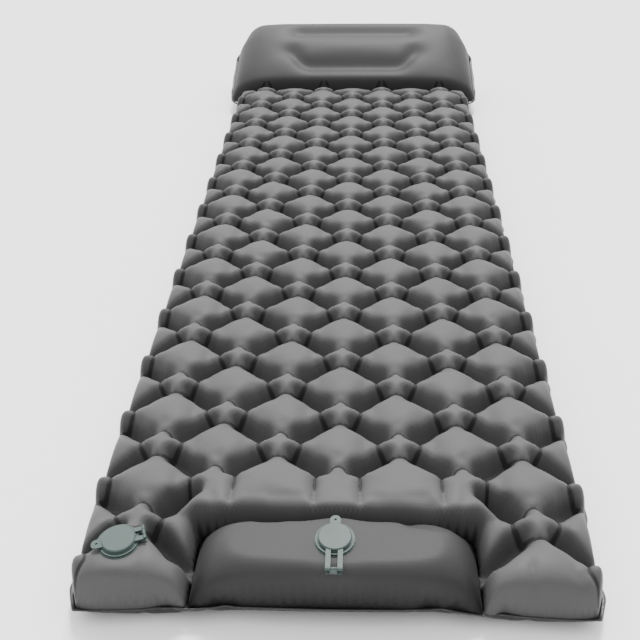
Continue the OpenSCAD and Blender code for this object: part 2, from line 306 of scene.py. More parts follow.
def fabric_finish(name, colour, roughness=0.52, puckers=1.0):
    """Coated nylon: a fine weave, soft blotches, puckers where the cloth leaves a weld, and painted
    shade in the knots' folds and towards each panel's lowest places.
    """
    finish = Finish(name, roughness, Sheen_Weight=0.03, Sheen_Roughness=0.45,
                    Specular_IOR_Level=0.13)
    blotch = finish.noise(9, 3)
    grain = finish.noise(420, 2)
    near = finish.attribute("near_weld")
    along = finish.attribute("along_weld")
    ripple_place = finish.add("ShaderNodeCombineXYZ", X=along * 150.0, Y=near * 1.4,
                              Z=blotch * 3.0).out(0)
    ripple = finish.noise(1.0, 2, ripple_place)
    # Painted shade: the colour darkens along the knots' folds, and by the low attribute towards
    # each panel's lowest places and all over some panels.
    fold = (finish.attribute("in_fold") * 1.3).maths("POWER", 6.0, clamp=True)
    shade = (1 - fold * 0.7) * (1 - finish.attribute("low"))
    finish.tint(colour, 0.0, 1.14, (blotch * 0.18 + grain * 0.08 + 0.74) * shade)
    finish.set(finish.shader.inputs["Roughness"], grain * 0.12 + (roughness - 0.06))
    finish.bump(
        (ripple * near, 0.004, 0.16 * puckers),
        (finish.noise(26, 3), 0.0022, 0.20),
        (weave(finish), 0.00012, 0.35),
    )
    return finish.material


def hem_finish(colour):
    """The welded hem: darker and shinier, with the fine cross lines of the heat seal."""
    finish = Finish("welded_hem", 0.42, Specular_IOR_Level=0.5)
    lines = finish.add("ShaderNodeTexWave", {"bands_direction": "DIAGONAL"},
                       Vector=finish.place(), Scale=60.0).out("Fac")
    finish.tint(colour, 0.8, 1.5, finish.noise(60, 3))
    finish.bump((lines, 0.0004, 0.5), (finish.noise(90, 2), 0.001, 0.4))
    return finish.material


def moulded_finish(name, colour, roughness=0.45):
    """Soft moulded plastic: an even colour, a fine eggshell grain and worn, paler highs."""
    finish = Finish(name, roughness, Specular_IOR_Level=0.25, Coat_Weight=0.04, Coat_Roughness=0.4)
    cloud = finish.noise(55, 3)
    grain = finish.noise(1600, 2)
    finish.tint(colour, 0.90, 1.12, cloud * 0.8 + grain * 0.2)
    finish.set(finish.shader.inputs["Roughness"], cloud * 0.14 + (roughness - 0.07))
    finish.bump((grain, 0.00025, 0.4), (finish.noise(140, 2), 0.0006, 0.15))
    return finish.material


def silicone_finish(colour):
    """Milky, slightly glossy silicone."""
    finish = Finish("silicone_flap", 0.3, Subsurface_Weight=0.2, Subsurface_Scale=0.003)
    finish.tint(colour, 0.92, 1.06, finish.noise(120, 2))
    finish.bump((finish.noise(900, 2), 0.0002, 0.3),)
    return finish.material


def foam_finish(colour):
    """Open-cell foam: pores and soft yellowing."""
    finish = Finish("open_cell_foam", 0.95)
    pores = finish.add("ShaderNodeTexVoronoi", Vector=finish.place(), Scale=420.0).out("Distance")
    finish.tint(colour, 0.62, 1.1, pores * 0.7 + finish.noise(18, 3) * 0.5)
    finish.bump((pores, 0.0012, 0.8),)
    return finish.material


MATERIALS = {}


def make_materials(colours):
    MATERIALS.update(
        fabric=fabric_finish("upper_fabric", colours.fabric),
        underside=fabric_finish("lower_fabric", colours.underside, 0.6, 0.7),
        tie=fabric_finish("tie_fabric", colours.underside, 0.6, 0),
        hem=hem_finish(colours.hem),
        valve=moulded_finish("valve_moulding", colours.valve),
        cap=moulded_finish("cap_moulding", tuple(c * 1.05 for c in colours.valve), 0.42),
        silicone=silicone_finish(colours.silicone),
        foam=foam_finish(colours.foam),
    )


# --- The skin's lattice ---
#
# A node is at (a, b), in steps across and along, with a + b even. A cell's
# middle or a knot is at every (i, k) * STEPS, and its quads are diamonds, so that the slanting weld
# bars run along mesh edges and the straight seams run along the diagonals of quads.

STEPS = 14
SEAM_A = 4 * STEPS
FOOT_B = -34
JOIN_B = 324
HEAD_B = 378
HEM_STEPS = 2
PUMP_A = 30                # the pump's seams, across and along
PUMP_B = -12
BAR_HALF = 4               # half length of a weld bar
BAR_REACH = 11             # how far a bar puckers the cloth
PUCKER_W = 2.4
FIRST_ROW, LAST_ROW = -2, 22
PUMP_SIDE_COLUMN = 2       # the columns of bars inside this one end at the pump
KNOT_HALF = 5              # half width of a knot
KNOT_REACH = 1.9           # how far a knot shapes the cells round it, in half widths
FAR = 99.0
KNOT_ARC = ((3, 3), (4, 2), (5, 1), (5, -1), (4, -2), (3, -3))
EAR_SHARPNESS = 0.7
CORNER_REACH = 0.05        # how far along the side a drawn-in corner is felt
SEAT_REACH = 0.022         # how far the weld stays high beside the transfer valve
FOOT_FADE = 6              # steps in front of the pump's back seam where the droop begins


class Lattice:
    """The skin's nodes: their steps, their places on the ground plan and what each one is."""

    def __init__(self, sizes):
        self.sizes = sizes
        a = np.arange(-SEAM_A - HEM_STEPS, SEAM_A + HEM_STEPS + 1)
        b = np.arange(FOOT_B - HEM_STEPS, HEAD_B + HEM_STEPS + 1)
        self.shape = (len(b), len(a))
        grid_b, grid_a = np.meshgrid(b, a, indexing="ij")
        self.a, self.b = grid_a.ravel(), grid_b.ravel()
        self.real = (self.a + self.b) % 2 == 0
        self.x, self.y = self.plan()
        outside = (abs(self.a) > SEAM_A) | (self.b < FOOT_B) | (self.b > HEAD_B)
        on_edge = (abs(self.a) == SEAM_A) | (self.b == FOOT_B) | (self.b == HEAD_B)
        self.hem = outside
        self.seam = on_edge & ~outside
        self.join = (self.b == JOIN_B) & ~outside
        beside = (abs(self.a) == PUMP_A) & (self.b <= PUMP_B)
        behind = (self.b == PUMP_B) & (abs(self.a) <= PUMP_A)
        self.pump_seam = (beside | behind) & ~outside
        self.in_pump = (abs(self.a) < PUMP_A) & (self.b < PUMP_B) & (self.b > FOOT_B)
        self.in_pillow = (self.b > JOIN_B) & (self.b < HEAD_B) & (abs(self.a) < SEAM_A)
        self.bar = np.zeros(len(self.a), bool)
        self.crease = np.zeros(len(self.a), bool)
        self.along_weld = np.zeros(len(self.a))
        self.mark_bars()
        self.mark_creases()
        self.one_layer = self.hem | self.seam | self.join | self.pump_seam | self.bar

    def index(self, a, b):
        """The place of a node in the lists, or None outside them."""
        column, row = a + SEAM_A + HEM_STEPS, b - FOOT_B + HEM_STEPS
        if 0 <= column < self.shape[1] and 0 <= row < self.shape[0]:
            return row * self.shape[1] + column
        return None

    def plan(self):
        """Places on the ground plan, widened at the pillow and rounded at its rear corners."""
        s = self.sizes
        hem_step = s.hem_w / HEM_STEPS
        across = np.minimum(abs(self.a), SEAM_A) * s.cell_x / STEPS
        over = np.maximum(abs(self.a) - SEAM_A, 0) * hem_step
        foot_y = TOP_LOW.y + s.seam_inset
        inner_b = np.clip(self.b, FOOT_B, HEAD_B)
        y = foot_y + (inner_b - FOOT_B) * s.cell_y / STEPS
        y = y + (self.b - inner_b) * hem_step
        seam_x, edge_x = SEAM_A * s.cell_x / STEPS, 3.5 * s.cell_x
        pillow_x = PILLOW_HIGH.x - s.hem_w - 0.002
        join_y = foot_y + (JOIN_B - FOOT_B) * s.cell_y / STEPS
        edge = np.clip((abs(self.a) - 3 * STEPS) / STEPS, 0, 1)
        wave = abs(np.sin(math.pi * self.b / (2 * STEPS))) ** EAR_SHARPNESS
        across -= s.ear_reach * wave * edge ** 2 * (self.b < JOIN_B)
        across -= s.corner_pull * edge ** 2 * np.exp((foot_y - y) / CORNER_REACH)
        widen = smooth((y - join_y + 0.02) / 0.04)
        across += widen * np.clip((across - edge_x) / (seam_x - edge_x), 0, 1) * (pillow_x - seam_x)
        x = across + over
        r = s.pillow_corner
        head_y = foot_y + (HEAD_B - FOOT_B) * s.cell_y / STEPS
        u, v = (x - pillow_x + r) / r, (y - head_y + r) / r
        m = np.maximum(np.maximum(u, v), 1e-9)
        u, v, corner = u / m, v / m, (u > 0) & (v > 0)
        x = np.where(corner, pillow_x - r + r * m * u * np.sqrt(np.clip(1 - v * v / 2, 0, 1)), x)
        y = np.where(corner, head_y - r + r * m * v * np.sqrt(np.clip(1 - u * u / 2, 0, 1)), y)
        return x * np.sign(self.a), y

    def droop(self):
        """How far the welds sink towards the ground near the sides, the foot and the pump.

        Over the valve between the pump and the mattress the weld stays high.
        """
        side = np.clip((abs(self.a) - 3 * STEPS) / STEPS, 0, 1) ** 2
        foot_start = PUMP_B - FOOT_FADE
        foot = np.clip((foot_start - self.b) / (foot_start - FOOT_B), 0, 1) ** 2
        side *= smooth((JOIN_B + STEPS - self.b) / (2 * STEPS))
        from_pump = np.maximum(np.maximum(abs(self.a) - PUMP_A, self.b - PUMP_B), 0)
        seat = np.exp(-(((self.x - SEAT.x) / SEAT_REACH) ** 2)) * (self.b > PUMP_B - FOOT_FADE)
        pump = smooth(1 - from_pump / STEPS) * (1 - seat)
        return self.sizes.seam_droop * np.maximum(np.maximum(side, foot), pump)

    def lift(self):
        """How far the pillow's seam climbs from the mattress to the back of the head."""
        share = (self.y - PILLOW_LOW.y) / (PILLOW_HIGH.y - PILLOW_LOW.y)
        return self.sizes.pillow_seam_lift * np.clip(share, 0, 1) * (self.b > JOIN_B)

    def mark_bars(self):
        """Pins the nodes under each weld bar, and measures how near the others are to one."""
        nearest = np.full(len(self.a), FAR)
        thread_w, column_shift, row_shift = 0.0075, 3.1, 5.7
        for k in range(FIRST_ROW, LAST_ROW + 1):
            for i in range(-4, 4):
                if k < 0 and abs(i + 0.5) < PUMP_SIDE_COLUMN:
                    continue
                middle = (STEPS * i + STEPS // 2, STEPS * k + STEPS // 2)
                slant = 1 if (i + k) % 2 == 0 else -1
                for e in range(-BAR_REACH, BAR_REACH + 1):
                    for f in range(-BAR_REACH, BAR_REACH + 1):
                        node = self.index(middle[0] + e + f, middle[1] + slant * (e - f))
                        if node is None:
                            continue
                        if abs(e) + abs(f) <= BAR_HALF and abs(f) <= 1:
                            self.bar[node] = True
                        d = math.hypot(max(abs(e) - BAR_HALF + 1, 0), max(abs(f) - 1, 0))
                        if d < nearest[node]:
                            nearest[node] = d
                            shift = column_shift * i + row_shift * k
                            self.along_weld[node] = e * thread_w + shift
        self.near_weld = np.exp(-((nearest / PUCKER_W) ** 2))

    def mark_creases(self):
        """Finds the folds that close each knot off from the large cells, as chains of nodes."""
        self.folds = []
        self.from_fold = np.full(len(self.a), FAR)
        self.knot_reach = np.full(len(self.a), FAR)
        for k in range(FIRST_ROW, LAST_ROW + 2):
            for i in range(-4, 5):
                if (i + k) % 2 or (k < 0 and abs(i) < 3):
                    continue
                opens = k == 0 and abs(i) < 3
                self.fold_knot(i * STEPS, k * STEPS, opens)
        corner_fold_a, corner_fold_end = 39, -26
        for side in (-1, 1):
            steps = range(FOOT_B + 1, corner_fold_end, 2)
            self.add_fold([(side * corner_fold_a, b) for b in steps])

    def fold_knot(self, a0, b0, opens):
        """The four folds of one knot; a knot that opens to the pump has two long side folds."""
        for turn in range(4):
            arc = [turned(p, turn) for p in KNOT_ARC]
            if opens and turn in (0, 2):
                arc = [p for p in (arc[::-1] if turn else arc) if p[1] > 0]
                side = arc[-1][0] if abs(arc[-1][0]) == KNOT_HALF else arc[0][0]
                arc += [(side, b) for b in range(-1, PUMP_B + 1, -2)]
            elif opens and turn == 3:
                continue
            self.add_fold([(a0 + a, b0 + b) for a, b in arc])
        u, v = abs(self.a - a0), abs(self.b - b0)
        from_middle = np.maximum(np.maximum(u, v) / KNOT_HALF, (u + v) / (KNOT_HALF + 1))
        if opens:
            below = (self.b < b0) & (self.b > PUMP_B)
            from_middle = np.where(below, u / KNOT_HALF, from_middle)
        near = from_middle < KNOT_REACH
        away = abs(from_middle - 1) + 0.05 * np.maximum(b0 - self.b - 3, 0) * opens
        self.from_fold[near] = np.minimum(self.from_fold[near], away[near])
        self.knot_reach[near] = np.minimum(self.knot_reach[near], from_middle[near])

    def add_fold(self, steps):
        """Keeps the part of a fold that lies within the seams."""
        inside = [(a, b) for a, b in steps if abs(a) < SEAM_A and FOOT_B < b < JOIN_B]
        chain = [self.index(a, b) for a, b in inside]
        if len(chain) > 2:
            self.folds.append(chain)
            for n in chain:
                if not self.bar[n]:
                    self.crease[n] = True

    def fold_edges(self):
        return {frozenset(pair) for chain in self.folds for pair in zip(chain, chain[1:])}


def turned(point, quarter_turns):
    """A step of the lattice, turned round the middle of a knot."""
    a, b = point
    for _ in range(quarter_turns):
        a, b = -b, a
    return a, b


def smooth(t):
    """An even rise from 0 to 1."""
    t = np.clip(t, 0, 1)
    return t * t * (3 - 2 * t)


CELL_ROUNDS, PUMP_ROUNDS, PILLOW_ROUNDS = 260, 700, 2500
AIR_PUSH = 1e-3
# The power that turns a soap film's height into each chamber's: the smaller, the boxier
CELL_POWER, PUMP_POWER, PILLOW_POWER, BASE_POWER, PUMP_END_POWER = 0.27, 0.42, 0.12, 0.46, 0.22
FULL_CELL_PERCENT = 96
KNOT_FULLNESS = 0.9
KNOT_EDGE, KNOT_FADE = 0.75, 0.9
FOLD_W = 0.17              # width of a fold, in half widths of a knot
# width of the painted shade along a fold, in half widths of a knot
FOLD_PAINTED_SHADE_W = 0.12
BASE_FULLNESS = 1.02
LINE_HALF_W = 0.019        # half width of a pressed line
# Each pressed line's half length, half length of its straight part, bow and share of the depth
PRESS_LINES = {"front": (0.168, 0.125, 0.034, 1.0), "back": (0.160, 0.160, 0.0, 1.25)}


def membrane(lattice, inside, rounds):
    """The height of a soap film over the nodes inside, pushed up by air."""
    film = np.zeros(lattice.shape)
    mask = inside.reshape(lattice.shape)
    for _ in range(rounds):
        middle = (film[2:, 2:] + film[2:, :-2] + film[:-2, 2:] + film[:-2, :-2]) / 4 + AIR_PUSH
        film[1:-1, 1:-1] = np.where(mask[1:-1, 1:-1], middle, 0)
    return film.ravel()


def inflated_heights(lattice):
    """Heights of the upper and the lower layer over and under the weld plane."""
    s = lattice.sizes
    free = lattice.real & ~lattice.one_layer
    cells = free & ~lattice.in_pump & ~lattice.in_pillow
    film = membrane(lattice, cells, CELL_ROUNDS)
    full = np.percentile(film[cells], FULL_CELL_PERCENT)
    knot_full = film[lattice.index(0, 2 * STEPS)]
    out_of_knot = smooth((lattice.knot_reach - KNOT_EDGE) / KNOT_FADE)
    full = (knot_full * KNOT_FULLNESS) ** (1 - out_of_knot) * full ** out_of_knot
    rise = s.cell_rise * np.minimum((film / full) ** CELL_POWER, 1.0)
    rise *= 1 - s.fold_depth * np.exp(-lattice.from_fold / FOLD_W)
    pump = membrane(lattice, lattice.in_pump & lattice.real, PUMP_ROUNDS)
    end = np.clip((abs(lattice.x) - PUMP_HIGH.x) / s.pump_end_r + 1, 0, 1)
    pump = (pump / pump.max()) ** PUMP_POWER * np.maximum(1 - end ** 2, 0) ** PUMP_END_POWER
    pillow = membrane(lattice, lattice.in_pillow & lattice.real, PILLOW_ROUNDS)
    pillow = pillow / pillow.max()
    upper = rise + pump * s.pump_rise + pillow_heights(lattice, pillow)
    lower = rise + (pump + pillow ** BASE_POWER) * WELD_Z * BASE_FULLNESS
    return upper, lower


def pillow_heights(lattice, film):
    """The pillow's crown, which climbs to its back, is round at its ends and has pressed lines."""
    s = lattice.sizes
    share = np.clip((lattice.y - PILLOW_LOW.y) / (PILLOW_HIGH.y - PILLOW_LOW.y), 0, 1)
    crown = s.pillow_front + (s.pillow_back - s.pillow_front) * share - lattice.lift()
    end = np.clip((abs(lattice.x) - PILLOW_HIGH.x + s.seam_inset) / s.pillow_side_r + 1, 0, 1)
    crown = crown * film ** PILLOW_POWER * np.sqrt(np.maximum(1 - end ** 2, 0))
    return crown - press_lines(lattice) * film ** 0.3


def press_lines(lattice):
    """Depth of the two lines that the ties pull into the pillow's crown."""
    depth = np.zeros(len(lattice.a))
    for side, (half, straight, bow, share) in PRESS_LINES.items():
        line_y = node_centre("pillow_tie_" + side).y
        past = np.clip((abs(lattice.x) - straight) / max(half - straight, 0.01), 0, 1.2)
        off_end = np.maximum(abs(lattice.x) - half, 0) * 0.7
        d = np.hypot(off_end, lattice.y - line_y - bow * past ** 2)
        depth = np.maximum(depth, share * np.exp(-((d / LINE_HALF_W) ** 2)))
    return depth * lattice.sizes.press_line_depth * lattice.in_pillow


# --- From lattice to cloth to panels ---


# How the settling cloth resists pulling, bending and moving
CLOTH_NATURE = {
    "quality": 5, "mass": 0.15, "air_damping": 3, "pin_stiffness": 20,
    "tension_stiffness": 60, "compression_stiffness": 18, "shear_stiffness": 24,
    "bending_stiffness": 0.15, "bending_damping": 1,
    "tension_damping": 8, "compression_damping": 8, "shear_damping": 8,
}
# How firmly folds, pressed lines and the pillow's seam hold their places
FOLD_HOLD, LINE_HOLD, PILLOW_SEAM_HOLD = 0.35, 0.7, 0.25
GROUND_GAP = 0.004
PILLOW_SPARE = 0.019       # the most that the pillow may swell past its limit
PILLOW_LIMIT = PILLOW_HIGH.z - 0.004
SWELL_REACH = 0.07
VALVE_SEAT_R, VALVE_SEAT_FADE = 0.060, 0.030


def add_object(name, data):
    """A new object in the scene."""
    made = bpy.data.objects.new(name, data)
    bpy.context.scene.collection.objects.link(made)
    return made


def shade_smooth(mesh):
    mesh.polygons.foreach_set("use_smooth", [True] * len(mesh.polygons))


class Skin:
    """The two-layered cloth mesh, and which panel each face belongs to."""

    def __init__(self, lattice):
        self.lattice = lattice
        count = len(lattice.a)
        upper, lower = inflated_heights(lattice)
        self.double = lattice.real & ~lattice.one_layer
        weld_z = WELD_Z - lattice.droop() + lattice.lift()
        top = np.c_[lattice.x, lattice.y, weld_z]
        bottom = top.copy()
        crown = lattice.sizes.cell_rise
        stretch = np.where(lattice.in_pillow, 1, (WELD_Z + crown - weld_z) / crown)
        top[self.double, 2] += (upper * stretch)[self.double]
        bottom[self.double, 2] -= (lower * weld_z / WELD_Z)[self.double]
        self.points = np.vstack([top, bottom[self.double]])
        self.swell_pillow()
        self.lower_id = np.arange(count)
        self.lower_id[self.double] = count + np.arange(self.double.sum())
        self.faces_upper, self.regions = self.make_faces()

    def both(self, values):
        """The values of the lattice's nodes, for the points of both layers."""
        return np.concatenate([values, values[self.double]])

    def swell_pillow(self):
        """Pushes the pillow's sides and back out past its seam."""
        lattice, s = self.lattice, self.lattice.sizes
        inside = self.both(lattice.in_pillow & self.double)
        for axis, edge in ((0, PILLOW_HIGH.x), (1, PILLOW_HIGH.y)):
            at = self.points[:, axis]
            near = np.clip(1 - (edge - s.hem_w - abs(at)) / SWELL_REACH, 0, 1)
            at += np.where(inside, s.pillow_bulge * near * np.sign(at), 0)

    def make_faces(self):
        """Diamond quads, cut in two where a seam or a fold runs through them."""
        lattice = self.lattice
        cut = lattice.fold_edges()
        faces, regions = [], []
        rows, columns = lattice.shape
        real = lattice.real.reshape(lattice.shape)
        at = np.arange(rows * columns).reshape(lattice.shape)
        lines = lattice.seam | lattice.join | lattice.pump_seam
        for row in range(rows):
            for column in range(columns):
                if real[row, column]:
                    continue
                south, east, north, west = (
                    at[row + r, column + c]
                    if 0 <= row + r < rows and 0 <= column + c < columns else None
                    for r, c in ((-1, 0), (0, 1), (1, 0), (0, -1)))
                ring = [n for n in (south, east, north, west) if n is not None]
                if len(ring) < 3:
                    continue
                if len(ring) == 4 and self.is_cut(west, east, cut, lines):
                    parts = [(west, south, east), (west, east, north)]
                elif len(ring) == 4 and self.is_cut(south, north, cut, lines):
                    parts = [(south, east, north), (south, north, west)]
                else:
                    parts = [tuple(ring)]
                for part in parts:
                    faces.append(part)
                    regions.append(self.region(part))
        return faces, regions

    def is_cut(self, p, q, cut, lines):
        if frozenset((p, q)) in cut:
            return True
        lattice = self.lattice
        same = lattice.a[p] == lattice.a[q] or lattice.b[p] == lattice.b[q]
        return bool(lines[p] and lines[q] and same)

    def region(self, part):
        lattice = self.lattice
        a = sum(lattice.a[n] for n in part) / len(part)
        b = sum(lattice.b[n] for n in part) / len(part)
        if abs(a) > SEAM_A or b < FOOT_B or b > HEAD_B:
            return "hem"
        if b > JOIN_B:
            return "pillow"
        if abs(a) < PUMP_A and b < PUMP_B:
            return "pump"
        return "cells"

    def lower_faces(self):
        """The faces of the lower layer, turned to look down, with their regions."""
        kept = [(f, r) for f, r in zip(self.faces_upper, self.regions) if r != "hem"]
        return [tuple(self.lower_id[n] for n in reversed(f)) for f, _ in kept], [r for _, r in kept]

    def cloth(self):
        """Settles the skin as cloth: welded bars and seams are held, and air presses outwards."""
        lattice, s = self.lattice, self.lattice.sizes
        lower, _ = self.lower_faces()
        bar = lattice.bar
        lower = [f for f in lower if not all(n < len(bar) and bar[n] for n in f)]
        used = np.zeros(len(self.points), bool)
        for face in self.faces_upper + lower:
            used[list(face)] = True
        new_id = np.cumsum(used) - 1
        mesh = bpy.data.meshes.new("cloth")
        faces = [[int(new_id[n]) for n in f] for f in self.faces_upper + lower]
        mesh.from_pydata(self.points[used].tolist(), [], faces)
        cloth = add_object("cloth", mesh)
        weight = self.hold()
        presses = np.concatenate([~(lattice.hem | lattice.bar), np.ones(self.double.sum(), bool)])
        pin = cloth.vertex_groups.new(name="pin")
        for level in np.unique(weight[weight > 0]):
            pin.add(new_id[used & (weight == level)].tolist(), float(level), "REPLACE")
        for name, members in (("press", presses), ("taut", self.both(lattice.in_pillow))):
            group = cloth.vertex_groups.new(name=name)
            group.add(new_id[used & members].tolist(), 1.0, "REPLACE")
        modifier = cloth.modifiers.new("air", "CLOTH")
        air = modifier.settings
        for key, value in CLOTH_NATURE.items():
            setattr(air, key, value)
        air.vertex_group_mass = "pin"
        air.shrink_min, air.shrink_max, air.vertex_group_shrink = -s.slack, 0.0, "taut"
        air.use_pressure, air.uniform_pressure_force = True, s.pressure
        air.vertex_group_pressure = "press"
        air.effector_weights.gravity = 0
        modifier.collision_settings.use_collision = False
        modifier.point_cache.frame_start, modifier.point_cache.frame_end = 1, s.settle_frames
        scene = bpy.context.scene
        for number in range(1, s.settle_frames + 1):
            scene.frame_set(number)
        settled = cloth.evaluated_get(bpy.context.evaluated_depsgraph_get()).data
        place = np.zeros(len(settled.vertices) * 3)
        settled.vertices.foreach_get("co", place)
        self.points[used] = place.reshape(-1, 3)
        scene.frame_set(1)
        bpy.data.objects.remove(cloth)
        bpy.data.meshes.remove(mesh)

    def hold(self):
        """How firmly each node keeps its place while the cloth settles, from 0 to 1."""
        lattice = self.lattice
        weight = np.maximum((lattice.bar | lattice.pump_seam | lattice.join) * 1.0,
                            np.where(lattice.crease, FOLD_HOLD, 0.0))
        pressed = press_lines(lattice) > 0.55 * lattice.sizes.press_line_depth
        weight = np.maximum(weight, LINE_HOLD * pressed)
        weight = np.maximum(weight, PILLOW_SEAM_HOLD * (lattice.seam & (lattice.b > JOIN_B)))
        return self.both(weight)

    def iron_pillow(self, rounds=3):
        """Evens out the small ripples that the settling leaves in the pillow."""
        lattice = self.lattice
        free = (lattice.in_pillow & self.double).reshape(lattice.shape)[1:-1, 1:-1, None]
        for layer in (np.arange(len(lattice.a)), self.lower_id):
            grid = self.points[layer].reshape(*lattice.shape, 3)
            for _ in range(rounds):
                even = (grid[2:, 2:] + grid[2:, :-2] + grid[:-2, 2:] + grid[:-2, :-2]) / 4
                grid[1:-1, 1:-1] = np.where(free, even, grid[1:-1, 1:-1])
            self.points[layer] = grid.reshape(-1, 3)

    def rest_on_ground(self):
        """Flattens what would hang under the ground, and seats both valves."""
        z = self.points[:, 2]
        sunk = z < GROUND_GAP
        z[sunk] = GROUND_GAP * np.exp((z[sunk] - GROUND_GAP) / GROUND_GAP)
        in_pump = self.both(self.lattice.in_pump)
        z[in_pump] = np.minimum(z[in_pump], PUMP_VALVE.z + VALVE_SKIRT_T)
        over = np.maximum(z - PILLOW_LIMIT, 0)
        z += PILLOW_SPARE * (1 - np.exp(-over / PILLOW_SPARE)) - over
        inward = np.where(z > WELD_Z, -1, 1)
        z += self.both(self.lattice.crease) * inward * self.lattice.sizes.tuck
        for foot in (PUMP_VALVE, AIR_VALVE):
            d = np.hypot(self.points[:, 0] - foot.x, self.points[:, 1] - foot.y)
            share = smooth((VALVE_SEAT_R - d) / VALVE_SEAT_FADE) * (z > WELD_Z)
            z += share * (foot.z + VALVE_SKIRT_T - z)


def panel(name, skin, faces, material, thickness, offset=-1.0, shade=0.12, painted_dim=0.0):
    """A closed shell of cloth from some of the skin's faces, smoothed and given its thickness.

    The cloth gets painted shade: darker all over by dim, and darker towards its lowest places as
    far as shade says.
    """
    nodes = sorted({n for f in faces for n in f})
    new_id = {n: i for i, n in enumerate(nodes)}
    mesh = bpy.data.meshes.new(name)
    mesh.from_pydata(skin.points[nodes].tolist(), [], [[new_id[n] for n in f] for f in faces])
    shade_smooth(mesh)
    lattice = skin.lattice
    source = skin.both(np.arange(len(lattice.a)))[nodes]
    height = skin.points[nodes, 2]
    # Painted shade: 0 at the panel's crown, 1 at its lowest point.
    low = np.clip((np.percentile(height, 97) - height) / np.ptp(height), 0, 1)
    # Attributes for the fabric's shader; low and in_fold carry painted shade.
    values = {
        "near_weld": lattice.near_weld[source],
        "along_weld": lattice.along_weld[source],
        "in_fold": np.exp(-((lattice.from_fold[source] / FOLD_PAINTED_SHADE_W) ** 2)),
        "low": painted_dim + (1 - painted_dim) * shade * low ** 0.8,
    }
    for key, value in values.items():
        attribute = mesh.attributes.new(key, "FLOAT", "POINT")
        attribute.data.foreach_set("value", value.astype(np.float32))
    mark_folds(mesh, skin, source)
    mesh.materials.append(material)
    piece = add_object(name, mesh)
    rounding = piece.modifiers.new("rounding", "SUBSURF")
    rounding.levels = rounding.render_levels = 1
    rounding.boundary_smooth = "PRESERVE_CORNERS"
    wall = piece.modifiers.new("wall", "SOLIDIFY")
    wall.thickness, wall.offset, wall.use_even_offset = thickness, offset, False
    return piece


def mark_folds(mesh, skin, source):
    """Keeps the edges along the knots' folds sharp."""
    folds = skin.lattice.fold_edges()
    ends = np.zeros(len(mesh.edges) * 2, int)
    mesh.edges.foreach_get("vertices", ends)
    pairs = source[ends].reshape(-1, 2)
    sharp = [0.8 if frozenset((int(p), int(q))) in folds else 0.0 for p, q in pairs]
    mesh.attributes.new("crease_edge", "FLOAT", "EDGE").data.foreach_set("value", sharp)


def over_valve(skin, face):
    """True for a face that lies wholly under the port of a valve."""
    middle = skin.points[list(face)]
    for foot in (PUMP_VALVE, AIR_VALVE):
        d = np.hypot(middle[:, 0] - foot.x, middle[:, 1] - foot.y)
        if (d < VALVE_COLLAR_R).all() and (middle[:, 2] > WELD_Z).all():
            return True
    return False


def finished(piece, body, replaced=()):
    """Rides a piece on its body and hides the CAD nodes that it replaces."""
    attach(piece, body)
    if replaced:
        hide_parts(*replaced)
    return piece


def make_skin(sizes):
    """Builds, settles and cuts the whole skin."""
    skin = Skin(Lattice(sizes))
    skin.cloth()
    skin.iron_pillow()
    skin.rest_on_ground()
    upper = [(f, r) for f, r in zip(skin.faces_upper, skin.regions) if not over_valve(skin, f)]
    lower = list(zip(*skin.lower_faces()))
    t = sizes.cloth_t
    fabric, underside = MATERIALS["fabric"], MATERIALS["underside"]

    def pick(faces, region):
        return [f for f, r in faces if r == region]

    panels = {
        "quilted_top": (upper, "cells", "top_sheet", 0.95),
        "quilted_base": (lower, "cells", "bottom_sheet", 0.95),
        "pillow_crown": (upper, "pillow", "pillow_top_panel", 0.95),
        "pillow_base": (lower, "pillow", "pillow_bottom_panel", 0.9),
        "pump_cover": (upper, "pump", "pump_top_panel", 0.85),
        "pump_base": (lower, "pump", "pump_floor_panel", 0.85),
    }
    # Painted shade on the pillow's crown and the pump's cover: shade darkens their lowest places,
    # dim darkens them all over.
    shading = {"pillow_crown": {"shade": 0.7, "painted_dim": 0.3},
               "pump_cover": {"shade": 1.0, "painted_dim": 0.42}}
    for name, (faces, region, node, fill) in panels.items():
        look, slot = (fabric, "top_fabric") if faces is upper else (underside, "bottom_fabric")
        piece = panel(name, skin, pick(faces, region), look, t, **shading.get(name, {}))
        finished(piece, "mattress", [node])
        if name == "pump_cover":
            seam_z = WELD_Z - sizes.seam_droop
            1 - PUMP_TRAVEL / (PUMP_VALVE.z + VALVE_SKIRT_T - seam_z)
            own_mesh(piece)
    make_ties(skin)
    hem = panel("welded_hem", skin, pick(upper, "hem"), MATERIALS["hem"], 0.0016, 0.0)
    finished(hem, "mattress")


def close_shell(shell, mesh):
    """Writes a shell to its mesh, with its faces outwards and smooth."""
    bmesh.ops.recalc_face_normals(shell, faces=shell.faces[:])
    shell.to_mesh(mesh)
    shell.free()
    shade_smooth(mesh)


def rounded_box(name, low, high, radius, counts):
    """A closed box of quads with round edges."""
    mesh = bpy.data.meshes.new(name)
    shell = bmesh.new()
    index, span = {}, high - low

    def corner(*at):
        if at not in index:
            place = Vector([low[n] + span[n] * at[n] / counts[n] for n in range(3)])
            core = Vector([min(max(place[n], low[n] + radius), high[n] - radius) for n in range(3)])
            out = place - core
            index[at] = shell.verts.new(core + out.normalized() * radius)
        return index[at]

    for axis in range(3):
        u, v = [n for n in range(3) if n != axis]
        for end in (0, counts[axis]):
            for i in range(counts[u]):
                for j in range(counts[v]):
                    ring = []
                    for di, dj in ((0, 0), (1, 0), (1, 1), (0, 1)):
                        at = [0, 0, 0]
                        at[axis], at[u], at[v] = end, i + di, j + dj
                        ring.append(corner(*at))
                    shell.faces.new(ring)
    close_shell(shell, mesh)
    return add_object(name, mesh)


